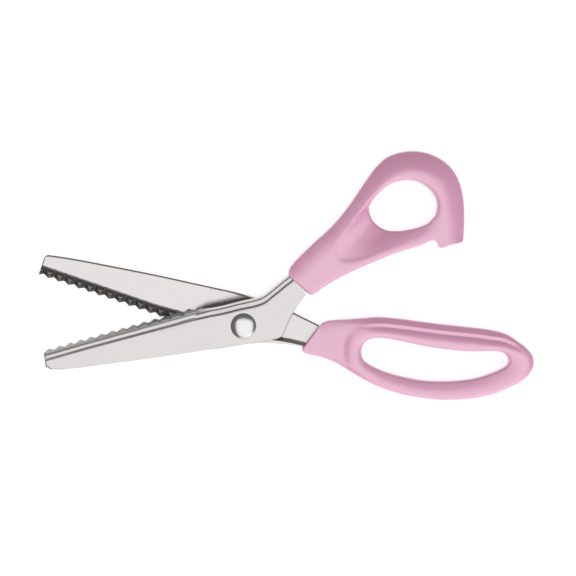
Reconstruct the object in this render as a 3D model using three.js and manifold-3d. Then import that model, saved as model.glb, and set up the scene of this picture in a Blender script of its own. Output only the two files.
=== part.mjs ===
// Pinking shears with moulded plastic handles, lying flat and part open.
//
// Frame: millimetres. The origin is on the pivot axis, on the plane that the
// shears lie on. +X points from the pivot to the handles, +Z from the rear
// blade to the front blade. Both blades lie either side of the shear plane.
import * as THREE from 'three';
import { mergeVertices } from 'three/addons/utils/BufferGeometryUtils.js';
import Module from 'manifold-3d';

const wasm = await Module();
wasm.setup();

// ---- Driving dimensions -------------------------------------------------

const THICKNESS = 14;                  // whole handle, resting plane to front
const SHEAR_Z = THICKNESS / 2;         // plane in which the blades meet
const PLATE = 2.3;                     // sheet that the blades are pressed from
const PLATE_OFFSET = 1.4;              // shear plane to a plate's inner face
const EDGE_OFFSET = 2.5;               // shear plane to a toothed edge's outer face
const RUNNING_GAP = 0.2;               // between the two toothed surfaces, along Z
const FIT_GAP = 0.3;                   // between a tang and its handle

const TOOTH_PITCH = 5;                 // along the radius from the pivot
const TOOTH_DEPTH = 2.5;               // height of the grooves, along Z
const FRONT_TOOTH_RADIUS = 92;         // the front blade's outermost tooth tip
const GROOVES_START = 23.25;           // radius where the grooves begin, half way up one
const GROOVES_END = 107;
const BEVEL_SLOPE = 2;                 // rise over run of a tooth's outer bevel
const BAND_RUN_IN = 14;                // the toothed band begins this far before the grooves
const BAND_OVERRUN = 5;                // and runs this far past the blade's tip

const BORE = 6.3;                      // pivot hole in the rear blade
const BOLT = 6;
const BOLT_FLAT = 5;                   // across the flats that key the front blade
const HEAD_RADIUS = 5.95;
const HEAD_HEIGHT = 2.4;
const HEAD_RIM = 0.7;                  // upright part of the head, below its dome
const DOME_ANGLES = [25, 45, 60, 75];  // steps of the dome, up from its rim
const DOME_FULLNESS = 0.7;             // 1 is an ellipse, less is a squarer dome
const BOSS_RADIUS = 8.4;
const SEAT_RADIUS = 7;                 // recess that holds the blade washer
const WASHER = 0.5;
const WASHER_PLAY = 0.2;               // round the blade washer, in its seat
const BEARING_GAP = 0.1;               // each side of the blade washer
const FLAT_WASHER_RADIUS = 5.6;
const WAVE_WASHER = { radius: 5, thickness: 0.3, waves: 3, height: 0.2 };
const NUT_FLATS = 10;
const THREAD_GAP = 0.1;                // from the bolt to the nut's smooth bore

const ANCHOR_HOLE = 4;                 // in each tang; the handle's plastic fills it
const ANCHOR_PIN = 3.4;

// Each blade is set out from the direction of its tooth line, in degrees, and
// from how far that line passes from the pivot. The teeth of the front blade
// lie on the right of that direction, and those of the rear blade on its left.
const FRONT = { angle: 195.9, edge: 14.8, side: -1, band: 5.2, length: 93 };
const REAR = { angle: 161, edge: 8.7, side: 1, band: 5.0, length: 98.5 };

const STEEL = { color: 0xd9d6d1, metalness: 1, roughness: 0.32 };
const SPRING_STEEL = { color: 0xb4b2ae, metalness: 1, roughness: 0.4 };
const PINK = { color: 0xe2a3c6, metalness: 0, roughness: 0.45 };

// ---- Outlines, seen from the front --------------------------------------

const FRONT_SPINE = [
  [-93.5, -12.5], [-93.5, -15], [-93, -17.2], [-92.2, -19.3], [-91.2, -20.2], [-88, -20.4],
  [-80, -20], [-60, -17.4], [-35, -14], [-15, -11], [0, -8.8], [5, -7.8], [14, -6.4],
  [17, -5.6], [18.5, -4], [21.5, 3], [25, 9], [29, 14.4],
];
const FRONT_SHANK_TOP = [[21.4, 23.8], [18, 21.6], [15, 18.8], [12, 16.5], [8, 14], [0, 12.1],
  [-10, 9.9], [-20, 8.2], [-23, 7.6]];
const FRONT_FACE_TOP = [[21.4, 21.8], [18, 18], [15, 15.2], [12, 12.6], [8, 10.2], [0, 8.6],
  [-20, 3.9], [-50, -3.6], [-80, -12.4], [-93.4, -16]];

const REAR_SPINE = [
  [-95.7, 25.2], [-95.1, 28], [-93.9, 32.5], [-92.9, 33.5], [-90, 33.1], [-80, 31.6],
  [-60, 27.8], [-40, 23.8], [-20, 19.4], [0, 14.9], [8, 12.6], [15, 10.2], [24, 6], [35, 0.6],
];
const REAR_SHANK_TOP = [[27.5, -10], [20, -8.7], [9, -8.2], [0, -8.6], [-10, -5.9], [-18, -2.6]];
const REAR_FACE_TOP = [[27.5, -7.6], [16, -5.5], [0, -4], [-20, 2.4], [-46, 11.8], [-80, 23.4],
  [-95.2, 29]];

// Where each handle's end face lies: its inward direction in degrees and its
// distance from the pivot; then the tang that runs into the handle.
const THUMB_END = { angle: 49.1, distance: 31.3 };
const FINGER_END = { angle: -37.5, distance: 28.1 };
const FRONT_TANG = { root: [24, 16.6], angle: 46, length: 33, width: [10, 7], anchor: 26 };
const REAR_TANG = { root: [27, -3.6], angle: -13, length: 25, width: [9, 6.5], anchor: 19 };

// A handle is a loop. Each station pairs a point on its outer outline with one
// on the edge of its hole: [outer x, y, rounding, hole x, y, rounding].
const THUMB_STATIONS = [
  [21.2, 26, 1.5, 59.2, 55.8, 5], [23, 29.2, 3, 59.4, 56.6, 5], [31.3, 37.7, 4, 60, 57.6, 5],
  [41.8, 47.4, 5, 61.2, 59.4, 5], [49.5, 56.8, 7, 62.8, 61.4, 4], [57.4, 68.5, 9, 65.6, 64, 3],
  [62.7, 75.4, 10, 68.5, 66, 2.5], [68.5, 80, 11, 72, 67.6, 2.5], [79.4, 82.3, 11, 77, 68.3, 2.5],
  [89, 80.4, 11, 82.5, 67.2, 2.5], [96.5, 75.6, 10, 86.6, 64.6, 3], [101, 69, 8, 89.3, 61.4, 4],
  [103.4, 60, 6, 90.7, 57.8, 5], [103.9, 50, 4, 90.5, 54, 6], [103.2, 41.5, 2, 89.8, 52, 6],
  [102.4, 39.2, 1, 89.2, 51.2, 6], [97.5, 37.6, 1, 88.3, 50.2, 6], [92.8, 36, 1, 87.4, 49.2, 6],
  [91.8, 36.8, 1, 87, 48.8, 6], [90.6, 39.2, 1.5, 86.5, 48.4, 6], [89, 39.9, 1.5, 85.8, 48, 6],
  [83.6, 37.6, 1.5, 83, 46.7, 6], [73, 34.3, 1.5, 76, 45, 7], [62.7, 30.3, 1.7, 68, 45, 8],
  [52.2, 25.8, 2, 63, 47.2, 9], [44.5, 22, 2.5, 61, 49.2, 9], [37.5, 17.8, 2.5, 59.9, 51.4, 8],
  [34.2, 15.4, 2, 59.4, 52.6, 7], [31.6, 14.4, 1, 59.2, 53.2, 6], [28.2, 17, 0.6, 59.1, 53.8, 5],
  [23, 21.5, 0.6, 59, 54.6, 5], [21.3, 23.6, 1, 59.1, 55.2, 5],
];
const FINGER_STATIONS = [
  [37.6, 1.9, 1, 56, -9.6, 3], [40, 2.7, 2, 56.4, -8.8, 3], [47, 3.2, 2.5, 57.4, -7.6, 3],
  [57.4, 4, 3, 60.4, -6, 3], [63, 4.4, 3, 64, -5.7, 3], [73, 3.6, 3, 71.5, -6.8, 3],
  [83.6, 2.2, 3, 81, -8.9, 3], [94, 0.9, 3, 91.5, -10.7, 3], [104.4, -0.2, 3, 101.5, -11.8, 3],
  [114.9, -1.5, 3, 111, -12.1, 3], [123.2, -3.5, 3, 118.5, -11.8, 3],
  [128.5, -6.8, 3.5, 121.8, -12.5, 3], [132.6, -9.9, 4, 123.4, -13.8, 3],
  [135.6, -13.6, 4, 124.2, -15.2, 4], [136.3, -17.8, 4, 124.3, -16.8, 5],
  [134.6, -22.2, 3, 123.6, -18.3, 6], [130.4, -26.2, 2.5, 121.4, -19.8, 6],
  [124, -29.5, 2, 117, -21.7, 6], [114.9, -32.8, 2, 110.5, -24, 6], [104.4, -34.5, 2, 102, -25.4, 6],
  [94, -35, 2, 93, -25.8, 6], [83.6, -34, 2, 84, -25.4, 6], [73.1, -32, 2, 74.5, -23.6, 6],
  [62.7, -28.5, 2, 66.5, -21.3, 6], [52.2, -23, 2, 60.5, -18.8, 5], [43.9, -17.8, 2, 57.4, -16.8, 4],
  [36.5, -14.9, 2, 56, -15, 3], [30, -13.4, 1.5, 55.6, -13.6, 3], [27.7, -12.3, 1, 55.5, -12.8, 3],
  [27.3, -10.6, 0.6, 55.5, -12, 3], [28.8, -8.6, 0.6, 55.5, -11.3, 3], [35.8, 0.5, 0.6, 55.8, -10.2, 3],
];
const STEPS_PER_STATION = 2;
const SHANK_END_THICKNESS = 11.2;      // a handle is thinner where the shank enters it
const THINNING = { from: 28, to: 60 }; // distances from the pivot
const ROUNDING_ANGLES = [30, 60, 90];  // steps of a handle's rounded edges
const ROUNDING_SHARE = 0.6;            // most of a bow's width that its outer rounding takes

// Sides of the turned solids, and how near two points are to count as one.
const SIDES = 48;
const DIE_SIDES = 96;
const WELD = 1e-5;
// A cutting solid runs past what it cuts by the first, or clears it by the second.
const CUT_REACH = 60;
const CUT_MARGIN = 1;

// ---- Solids --------------------------------------------------------------

const degrees = THREE.MathUtils.degToRad;

// A point given along a direction from the pivot and across it, to its left.
function place(angle, along, across) {
  const c = Math.cos(degrees(angle));
  const s = Math.sin(degrees(angle));
  return [along * c - across * s, along * s + across * c];
}

// A geometry as a manifold solid: shared vertices merged, slivers dropped, and
// turned outside out where its outline was drawn the other way round.
function solid(geometry) {
  const bare = new THREE.BufferGeometry();
  bare.setAttribute('position', geometry.getAttribute('position'));
  bare.setIndex(geometry.getIndex());
  const merged = mergeVertices(bare, WELD);
  const index = Array.from(merged.getIndex().array);
  const triangles = [];
  for (let i = 0; i < index.length; i += 3) {
    const [a, b, c] = index.slice(i, i + 3);
    if (a !== b && b !== c && c !== a) triangles.push(a, b, c);
  }
  const build = (corners) => new wasm.Manifold(new wasm.Mesh({
    numProp: 3,
    vertProperties: new Float32Array(merged.getAttribute('position').array),
    triVerts: new Uint32Array(corners),
  }));
  const body = build(triangles);
  return body.volume() > 0 ? body : build(triangles.reverse());
}

// A named part with its own material.
function part(name, body, finish) {
  const surface = body.getMesh();
  const geometry = new THREE.BufferGeometry();
  geometry.setAttribute('position', new THREE.BufferAttribute(surface.vertProperties, 3));
  geometry.setIndex(new THREE.BufferAttribute(surface.triVerts, 1));
  geometry.computeVertexNormals();
  const mesh = new THREE.Mesh(geometry, new THREE.MeshStandardMaterial(finish));
  mesh.name = name;
  return mesh;
}

function prism(points, bottom, top) {
  const shape = new THREE.Shape(points.map(([x, y]) => new THREE.Vector2(x, y)));
  const geometry = new THREE.ExtrudeGeometry(shape, { depth: top - bottom, bevelEnabled: false });
  return solid(geometry.translate(0, 0, bottom));
}

// A solid turned about the pivot axis from a closed profile of [radius, z].
function turned(profile, sides = SIDES) {
  const points = profile.map(([r, z]) => new THREE.Vector2(r, z));
  return solid(new THREE.LatheGeometry(points, sides).rotateX(Math.PI / 2));
}

function disc(radius, bottom, top) {
  return turned([[0, bottom], [radius, bottom], [radius, top], [0, top]]);
}

function ring(inner, outer, bottom, top) {
  return turned([[inner, bottom], [outer, bottom], [outer, top], [inner, top], [inner, bottom]]);
}

function post(x, y, diameter, bottom, top) {
  return disc(diameter / 2, bottom, top).translate([x, y, 0]);
}

// ---- Blades --------------------------------------------------------------

// Height of the grooved shearing surface above the shear plane. It depends
// only on the distance from the pivot, so the blades can turn through it.
function grooveHeight(radius) {
  const turns = (radius - FRONT_TOOTH_RADIUS) / TOOTH_PITCH;
  const phase = turns - Math.floor(turns);
  return TOOTH_DEPTH * (0.5 - Math.abs(2 * phase - 1));
}

// Everything on the far side of the shearing surface from a blade: the blade
// washer's seat, a flat land round it, then the grooves. direction is 1 for
// the front blade, which lies above the surface, and -1 for the rear blade.
function shearingDie(direction) {
  const land = direction * RUNNING_GAP;
  const seat = direction * (WASHER / 2 + BEARING_GAP);
  const profile = [[0, seat], [SEAT_RADIUS, seat], [SEAT_RADIUS, land], [GROOVES_START, land]];
  for (let r = GROOVES_START + TOOTH_PITCH / 4; r <= GROOVES_END; r += TOOTH_PITCH / 2) {
    profile.push([r, grooveHeight(r) + direction * RUNNING_GAP / 2]);
  }
  profile.push([GROOVES_END, -direction * THICKNESS], [0, -direction * THICKNESS]);
  return turned(profile, DIE_SIDES).translate([0, 0, SHEAR_Z]);
}

// A bar beside a blade's tooth line, from its cross-section in [distance from
// the pivot towards the teeth, z].
function edgeBar(blade, section) {
  const shape = new THREE.Shape(section.map(([n, z]) => new THREE.Vector2(n * blade.side, z)));
  const depth = blade.length + CUT_REACH;
  const along = new THREE.Vector3(...place(blade.angle, 1, 0), 0);
  const across = new THREE.Vector3(...place(blade.angle, 0, 1), 0);
  const up = new THREE.Vector3(0, 0, 1);
  const geometry = new THREE.ExtrudeGeometry(shape, { depth, bevelEnabled: false });
  return solid(geometry.applyMatrix4(new THREE.Matrix4().makeBasis(across, up, along)));
}

function toothLine(blade, along, inset = 0) {
  return place(blade.angle, along, blade.side * (blade.edge - inset));
}

function tangOutline(tang, grow) {
  const c = Math.cos(degrees(tang.angle));
  const s = Math.sin(degrees(tang.angle));
  const corner = (along, across) => [
    tang.root[0] + along * c - across * s,
    tang.root[1] + along * s + across * c,
  ];
  const [near, far] = tang.width.map((width) => width / 2 + grow);
  const end = tang.length + grow;
  return [corner(0, -near), corner(end, -far), corner(end, far), corner(0, near)];
}

function anchorPoint(tang) {
  return place(tang.angle, tang.anchor, 0).map((value, i) => value + tang.root[i]);
}

// Cuts the shank off square where the handle begins, apart from its tang.
function beyond(end) {
  const near = end.distance - FIT_GAP;
  const far = near + CUT_REACH;
  const corners = [[near, -CUT_REACH], [far, -CUT_REACH], [far, CUT_REACH], [near, CUT_REACH]];
  const outline = corners.map(([along, across]) => place(end.angle, along, across));
  return prism(outline, -CUT_MARGIN, THICKNESS + CUT_MARGIN);
}

// One blade. direction is 1 for the front blade and -1 for the rear blade.
function buildBlade(blade, direction, spine, shankTop, faceTop, tang, end) {
  const level = (offset) => SHEAR_Z + direction * offset;
  const span = (a, b) => [Math.min(level(a), level(b)), Math.max(level(a), level(b))];
  const slab = (points, a, b) => prism(points, ...span(a, b));
  const outerFace = PLATE_OFFSET + PLATE;
  const halfDepth = TOOTH_DEPTH / 2;

  const outline = [...spine, ...shankTop, toothLine(blade, GROOVES_START), toothLine(blade, blade.length)];
  const face = [...spine.slice(2), ...faceTop];
  const bandStart = GROOVES_START - BAND_RUN_IN;
  const bandEnd = blade.length + BAND_OVERRUN;
  const band = [toothLine(blade, bandStart), toothLine(blade, bandEnd),
    toothLine(blade, bandEnd, blade.band), toothLine(blade, bandStart, blade.band)];

  const plate = slab(outline, PLATE_OFFSET, EDGE_OFFSET).add(slab(face, PLATE_OFFSET, outerFace));
  const edge = slab(outline, -halfDepth, PLATE_OFFSET).intersect(slab(band, -halfDepth, PLATE_OFFSET));
  const boss = disc(BOSS_RADIUS, ...span(0, PLATE_OFFSET));

  const bevelRun = (EDGE_OFFSET + halfDepth) / BEVEL_SLOPE;
  const bevelFoot = level(-halfDepth - BEVEL_SLOPE * CUT_MARGIN);
  const bevelTop = level(outerFace + CUT_MARGIN);
  const bevel = edgeBar(blade, [
    [blade.edge + CUT_MARGIN, bevelFoot], [blade.edge + CUT_REACH, bevelFoot],
    [blade.edge + CUT_REACH, bevelTop], [blade.edge - bevelRun, bevelTop],
    [blade.edge - bevelRun, level(EDGE_OFFSET)],
  ]);
  const tangBar = slab(tangOutline(tang, 0), PLATE_OFFSET, outerFace);
  const [ax, ay] = anchorPoint(tang);
  return plate.add(edge).subtract(bevel).add(boss).subtract(beyond(end)).add(tangBar)
    .subtract(shearingDie(direction))
    .subtract(post(ax, ay, ANCHOR_HOLE, 0, THICKNESS));
}

// The bolt's shank, with two flats where it passes through the front blade.
function keyedShank(diameter, flats, bottom, top) {
  const round = disc(diameter / 2, bottom, top);
  const cheek = (side) => prism([[side * flats / 2, -diameter], [side * diameter, -diameter],
    [side * diameter, diameter], [side * flats / 2, diameter]], bottom - CUT_MARGIN, top + CUT_MARGIN);
  return round.subtract(cheek(1)).subtract(cheek(-1));
}

function frontBlade() {
  const body = buildBlade(FRONT, 1, FRONT_SPINE, FRONT_SHANK_TOP, FRONT_FACE_TOP, FRONT_TANG, THUMB_END);
  return body.subtract(keyedShank(BORE, BOLT_FLAT + FIT_GAP, 0, THICKNESS));
}

function rearBlade() {
  const body = buildBlade(REAR, -1, REAR_SPINE, REAR_SHANK_TOP, REAR_FACE_TOP, REAR_TANG, FINGER_END);
  return body.subtract(disc(BORE / 2, 0, THICKNESS));
}

// ---- Handles -------------------------------------------------------------

function handleHalfHeight(x, y) {
  const grown = THREE.MathUtils.smoothstep(Math.hypot(x, y), THINNING.from, THINNING.to);
  return THREE.MathUtils.lerp(SHANK_END_THICKNESS, THICKNESS, grown) / 2;
}

// How much of the full height is left at a distance from a rounded edge.
function rounded(distance, radius) {
  const short = Math.max(0, 1 - distance / radius);
  return Math.sqrt(1 - short * short);
}

// The skin of a looped handle, as rings of points from the outer outline over
// the front to the hole and back underneath. The third coordinate of each
// guide curve carries its edge's rounding.
function handleSkin(stations) {
  const guide = (x, y, r) => new THREE.CatmullRomCurve3(
    stations.map((s) => new THREE.Vector3(s[x], s[y], s[r])), true, 'centripetal');
  const outer = guide(0, 1, 2);
  const hole = guide(3, 4, 5);
  const arc = ROUNDING_ANGLES.map((angle) => 1 - Math.cos(degrees(angle)));

  const rings = [];
  const count = stations.length * STEPS_PER_STATION;
  for (let i = 0; i < count; i += 1) {
    const a = outer.getPoint(i / count);
    const b = hole.getPoint(i / count);
    const width = Math.hypot(b.x - a.x, b.y - a.y);
    const outerRound = Math.min(a.z, width * ROUNDING_SHARE);
    const innerRound = Math.min(b.z, width - outerRound);
    const steps = [...arc.map((f) => f * outerRound), (outerRound + width - innerRound) / 2,
      ...arc.slice().reverse().map((f) => width - f * innerRound)];
    const at = (distance, side) => {
      const x = a.x + (b.x - a.x) * distance / width;
      const y = a.y + (b.y - a.y) * distance / width;
      const height = handleHalfHeight(x, y) * rounded(distance, outerRound)
        * rounded(width - distance, innerRound);
      return [x, y, SHEAR_Z + side * height];
    };
    rings.push([[a.x, a.y, SHEAR_Z], ...steps.map((d) => at(d, 1)), [b.x, b.y, SHEAR_Z],
      ...steps.slice().reverse().map((d) => at(d, -1))]);
  }
  return rings;
}

// A closed skin from rings of equal length, each joined to the next.
function loopSolid(rings) {
  const count = rings.length;
  const size = rings[0].length;
  const index = [];
  for (let i = 0; i < count; i += 1) {
    const next = (i + 1) % count;
    for (let j = 0; j < size; j += 1) {
      const up = (j + 1) % size;
      const [a, b, c, d] = [i * size + j, next * size + j, next * size + up, i * size + up];
      index.push(a, b, c, a, c, d);
    }
  }
  const geometry = new THREE.BufferGeometry();
  geometry.setAttribute('position', new THREE.Float32BufferAttribute(rings.flat(2), 3));
  geometry.setIndex(index);
  return solid(geometry);
}

// The handle is moulded over the tang, and its plastic fills the anchor hole.
function handle(stations, tang, direction) {
  const inner = SHEAR_Z + direction * (PLATE_OFFSET - FIT_GAP);
  const outer = SHEAR_Z + direction * (PLATE_OFFSET + PLATE + FIT_GAP);
  const pocket = prism(tangOutline(tang, FIT_GAP), Math.min(inner, outer), Math.max(inner, outer));
  const [ax, ay] = anchorPoint(tang);
  return loopSolid(handleSkin(stations)).subtract(pocket.subtract(post(ax, ay, ANCHOR_PIN, 0, THICKNESS)));
}

// ---- Pivot ---------------------------------------------------------------

const FRONT_FACE_Z = SHEAR_Z + PLATE_OFFSET + PLATE;
const REAR_FACE_Z = SHEAR_Z - PLATE_OFFSET - PLATE;
const FLAT_WASHER = [REAR_FACE_Z - BEARING_GAP - 0.6, REAR_FACE_Z - BEARING_GAP];
const WAVE_WASHER_Z = 2.2;             // mid plane of the wave washer
const NUT = [0.2, 1.8];                // the nut's lower and upper face

function pivotBolt() {
  const underHead = FRONT_FACE_Z + BEARING_GAP;
  const brow = underHead + HEAD_RIM;
  const dome = [[0, underHead], [HEAD_RADIUS, underHead], [HEAD_RADIUS, brow]];
  for (const angle of DOME_ANGLES.map(degrees)) {
    const radius = HEAD_RADIUS * Math.cos(angle) ** DOME_FULLNESS;
    dome.push([radius, brow + (HEAD_HEIGHT - HEAD_RIM) * Math.sin(angle)]);
  }
  dome.push([0, underHead + HEAD_HEIGHT]);
  const keyed = keyedShank(BOLT, BOLT_FLAT, SHEAR_Z + WASHER / 2, underHead);
  const shank = disc(BOLT / 2, 0, SHEAR_Z + WASHER / 2);
  return turned(dome).add(keyed).add(shank);
}

function waveWasher() {
  const { radius, thickness, waves, height } = WAVE_WASHER;
  const shape = new THREE.Shape().absarc(0, 0, radius, 0, 2 * Math.PI, false);
  shape.holes.push(new THREE.Path().absarc(0, 0, BOLT / 2 + WASHER_PLAY, 0, 2 * Math.PI, true));
  const geometry = new THREE.ExtrudeGeometry(shape,
    { depth: thickness, bevelEnabled: false, curveSegments: 36 });
  const points = geometry.getAttribute('position');
  for (let i = 0; i < points.count; i += 1) {
    const wave = height * Math.sin(waves * Math.atan2(points.getY(i), points.getX(i)));
    points.setZ(i, points.getZ(i) + WAVE_WASHER_Z - thickness / 2 + wave);
  }
  return solid(geometry);
}

function lockNut() {
  const corners = [];
  for (let i = 0; i < 6; i += 1) {
    corners.push(place(60 * i, NUT_FLATS / Math.sqrt(3), 0));
  }
  return prism(corners, ...NUT).subtract(disc(BOLT / 2 + THREAD_GAP, -CUT_MARGIN, THICKNESS));
}

// ---- The shears ----------------------------------------------------------

const BLADE_WASHER = [SHEAR_Z - WASHER / 2, SHEAR_Z + WASHER / 2];

const shears = new THREE.Group();
shears.add(
  part('front_blade', frontBlade(), STEEL),
  part('rear_blade', rearBlade(), STEEL),
  part('thumb_handle', handle(THUMB_STATIONS, FRONT_TANG, 1), PINK),
  part('finger_handle', handle(FINGER_STATIONS, REAR_TANG, -1), PINK),
  part('pivot_bolt', pivotBolt(), STEEL),
  part('blade_washer', ring(BORE / 2, SEAT_RADIUS - WASHER_PLAY, ...BLADE_WASHER), SPRING_STEEL),
  part('flat_washer', ring(BORE / 2, FLAT_WASHER_RADIUS, ...FLAT_WASHER), SPRING_STEEL),
  part('wave_washer', waveWasher(), SPRING_STEEL),
  part('lock_nut', lockNut(), SPRING_STEEL),
);

export default shears;
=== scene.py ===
"""The looks of the pinking shears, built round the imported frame.

Measures are millimetres in the part's own frame until a mesh is made: the
origin is on the pivot axis at the plane that the shears lie on, +X points to
the handles and +Z from the rear blade to the front blade.
"""
import math

import bmesh
import bpy
import numpy as np
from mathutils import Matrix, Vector


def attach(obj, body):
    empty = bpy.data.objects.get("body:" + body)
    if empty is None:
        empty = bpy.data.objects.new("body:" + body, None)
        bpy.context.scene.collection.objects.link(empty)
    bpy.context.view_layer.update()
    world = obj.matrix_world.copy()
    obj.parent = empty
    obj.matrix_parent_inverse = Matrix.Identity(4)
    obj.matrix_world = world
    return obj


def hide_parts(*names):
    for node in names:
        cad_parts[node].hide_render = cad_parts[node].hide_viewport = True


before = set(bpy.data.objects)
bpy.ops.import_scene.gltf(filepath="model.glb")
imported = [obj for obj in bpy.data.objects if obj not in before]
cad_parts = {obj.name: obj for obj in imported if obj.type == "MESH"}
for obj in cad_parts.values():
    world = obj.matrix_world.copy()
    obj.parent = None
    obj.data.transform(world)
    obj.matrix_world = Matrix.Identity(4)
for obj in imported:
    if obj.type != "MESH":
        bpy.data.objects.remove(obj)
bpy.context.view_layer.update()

MM = 0.001

# ---- Sizes shared with the CAD model -------------------------------------

THICKNESS = 14
SHEAR_Z = THICKNESS / 2
PLATE = 2.3
PLATE_OFFSET = 1.4
EDGE_OFFSET = 2.5
RUNNING_GAP = 0.2
TOOTH_PITCH = 5
TOOTH_DEPTH = 2.5
FRONT_TOOTH_RADIUS = 92
GROOVES_START = 23.25
BEVEL_SLOPE = 2
BOSS_RADIUS = 8.4
BORE = 6.3
SHANK_END_THICKNESS = 11.2
THINNING = (28, 60)            # radii between which the handles grow to their full thickness
CUT_MARGIN = 1                 # how far a cutting tool stands out of what it cuts

# ---- Curves ---------------------------------------------------------------


def span(p, steps):
    """The middle span of a centripetal Catmull-Rom curve through four points."""
    knots = [0.0]
    for a, b in zip(p, p[1:]):
        knots.append(knots[-1] + max(float(np.linalg.norm(b - a)), 1e-6) ** 0.5)
    t = np.linspace(knots[1], knots[2], steps, endpoint=False)[:, None]

    def mix(a, b, ka, kb):
        return (kb - t) / (kb - ka) * a + (t - ka) / (kb - ka) * b

    low = [mix(p[i], p[i + 1], knots[i], knots[i + 1]) for i in range(3)]
    mid = [mix(low[i], low[i + 1], knots[i], knots[i + 2]) for i in range(2)]
    return mix(mid[0], mid[1], knots[1], knots[2])


def closed_curve(points, steps):
    """A smooth loop through points, with this many steps from each to the next."""
    points = np.asarray(points, float)
    count = len(points)
    return np.concatenate([span([points[(i + k) % count] for k in (-1, 0, 1, 2)], steps)
                           for i in range(count)])


def open_curve(points, steps=12):
    """A smooth line from the first of the points to the last."""
    points = np.asarray(points, float)
    padded = np.vstack([2 * points[0] - points[1], points, 2 * points[-1] - points[-2]])
    spans = [span(padded[i:i + 4], steps) for i in range(len(points) - 1)]
    return np.vstack(spans + [points[-1:]])


def at_fraction(curve, t):
    """Points at fractions of a polyline's length."""
    steps = np.linalg.norm(np.diff(curve, axis=0), axis=1)
    length = np.concatenate([[0], np.cumsum(steps)])
    places = np.asarray(t) * length[-1]
    return np.column_stack([np.interp(places, length, curve[:, k]) for k in range(2)])


def smoothstep(x):
    """A soft step from 0 to 1 as x goes from 0 to 1."""
    x = np.clip(x, 0, 1)
    return x * x * (3 - 2 * x)


# ---- Meshes ---------------------------------------------------------------

SHARP_ANGLE = 32               # in degrees, from which an edge is drawn sharp
MERGE_DISTANCE = 0.002


def mesh_object(name, vertices, faces, sharp_angle=SHARP_ANGLE, finishes=()):
    """An object from vertices in millimetres, with a material index for each face if it has several."""
    mesh = bpy.data.meshes.new(name)
    mesh.from_pydata([tuple(v) for v in np.asarray(vertices) * MM], [], faces)
    if len(finishes):
        mesh.polygons.foreach_set("material_index", finishes)
    obj = bpy.data.objects.new(name, mesh)
    bpy.context.scene.collection.objects.link(obj)
    tidy_mesh(obj, sharp_angle)
    return obj


def tidy_mesh(obj, sharp_angle=SHARP_ANGLE):
    """Merges an object's double vertices, turns its normals out and shades it smooth but for sharp edges."""
    bm = bmesh.new()
    bm.from_mesh(obj.data)
    bmesh.ops.remove_doubles(bm, verts=bm.verts, dist=MERGE_DISTANCE * MM)
    bmesh.ops.dissolve_degenerate(bm, edges=bm.edges, dist=MERGE_DISTANCE * MM)
    bmesh.ops.recalc_face_normals(bm, faces=bm.faces)
    for face in bm.faces:
        face.smooth = True
    limit = math.radians(sharp_angle)
    for edge in bm.edges:
        edge.smooth = len(edge.link_faces) == 2 and edge.calc_face_angle(0) < limit
    bm.to_mesh(obj.data)
    bm.free()


def tube_faces(rings, size, wrap):
    """Quads that join rings of vertices, each ring a closed loop of size."""
    faces = []
    for i in range(rings if wrap else rings - 1):
        a, b = i * size, (i + 1) % rings * size
        faces += [(a + j, b + j, b + (j + 1) % size, a + (j + 1) % size) for j in range(size)]
    return faces


def turned(name, profile, segments=96, sharp_angle=SHARP_ANGLE):
    """A solid of revolution about the pivot axis from a profile of (radius, z), closed on itself."""
    rings = []
    for angle in np.linspace(0, 2 * math.pi, segments, endpoint=False):
        rings += [(r * math.cos(angle), r * math.sin(angle), z) for r, z in profile]
    return mesh_object(name, rings, tube_faces(segments, len(profile), True), sharp_angle)


def disc(name, radius, low, high, segments=96):
    """A plain disc about the pivot axis."""
    return turned(name, [(0, low), (radius, low), (radius, high), (0, high)], segments)


def combine(obj, other, operation):
    """Joins other to obj, cuts it out or keeps what they share, and then removes other."""
    modifier = obj.modifiers.new(operation, "BOOLEAN")
    modifier.operation = operation
    modifier.solver = "EXACT"
    modifier.object = other
    bpy.context.view_layer.update()
    evaluated = obj.evaluated_get(bpy.context.evaluated_depsgraph_get())
    result = bpy.data.meshes.new_from_object(evaluated)
    obj.modifiers.clear()
    obj.data = result
    bpy.data.objects.remove(other)


# ---- Blades ---------------------------------------------------------------

# The tooth line's direction and distance from the pivot, the side of that
# direction on which the teeth lie, whether the blade's outer face is up (1) or
# down (-1), and the radius of its round end. Then the width of the rolled edge,
# from its teeth or its plain edge to the flat face: as (radius, width) on the
# toothed part, and as (share of the way along, width) on the shank. The heel
# softness is how much of the spine's rounding is left on the shank's heel.
FRONT = {"angle": 195.9, "edge": 14.8, "side": -1, "direction": 1, "end": 94.6,
         "toothed_roll": [(23, 6.0), (75, 5.15)], "heel_softness": 0.2,
         "shank_roll": [(0, 4.8), (0.05, 4.55), (0.13, 4.1), (0.24, 4), (0.36, 4), (0.5, 4.2), (0.6, 4.2),
                        (0.75, 3.5), (1, 3.5)]}
REAR = {"angle": 161, "edge": 8.7, "side": 1, "direction": -1, "end": 99.2,
        "toothed_roll": [(28, 5.9), (42, 4.9)], "heel_softness": 1.0,
        "shank_roll": [(0, 5.9), (1, 2.6)]}

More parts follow.
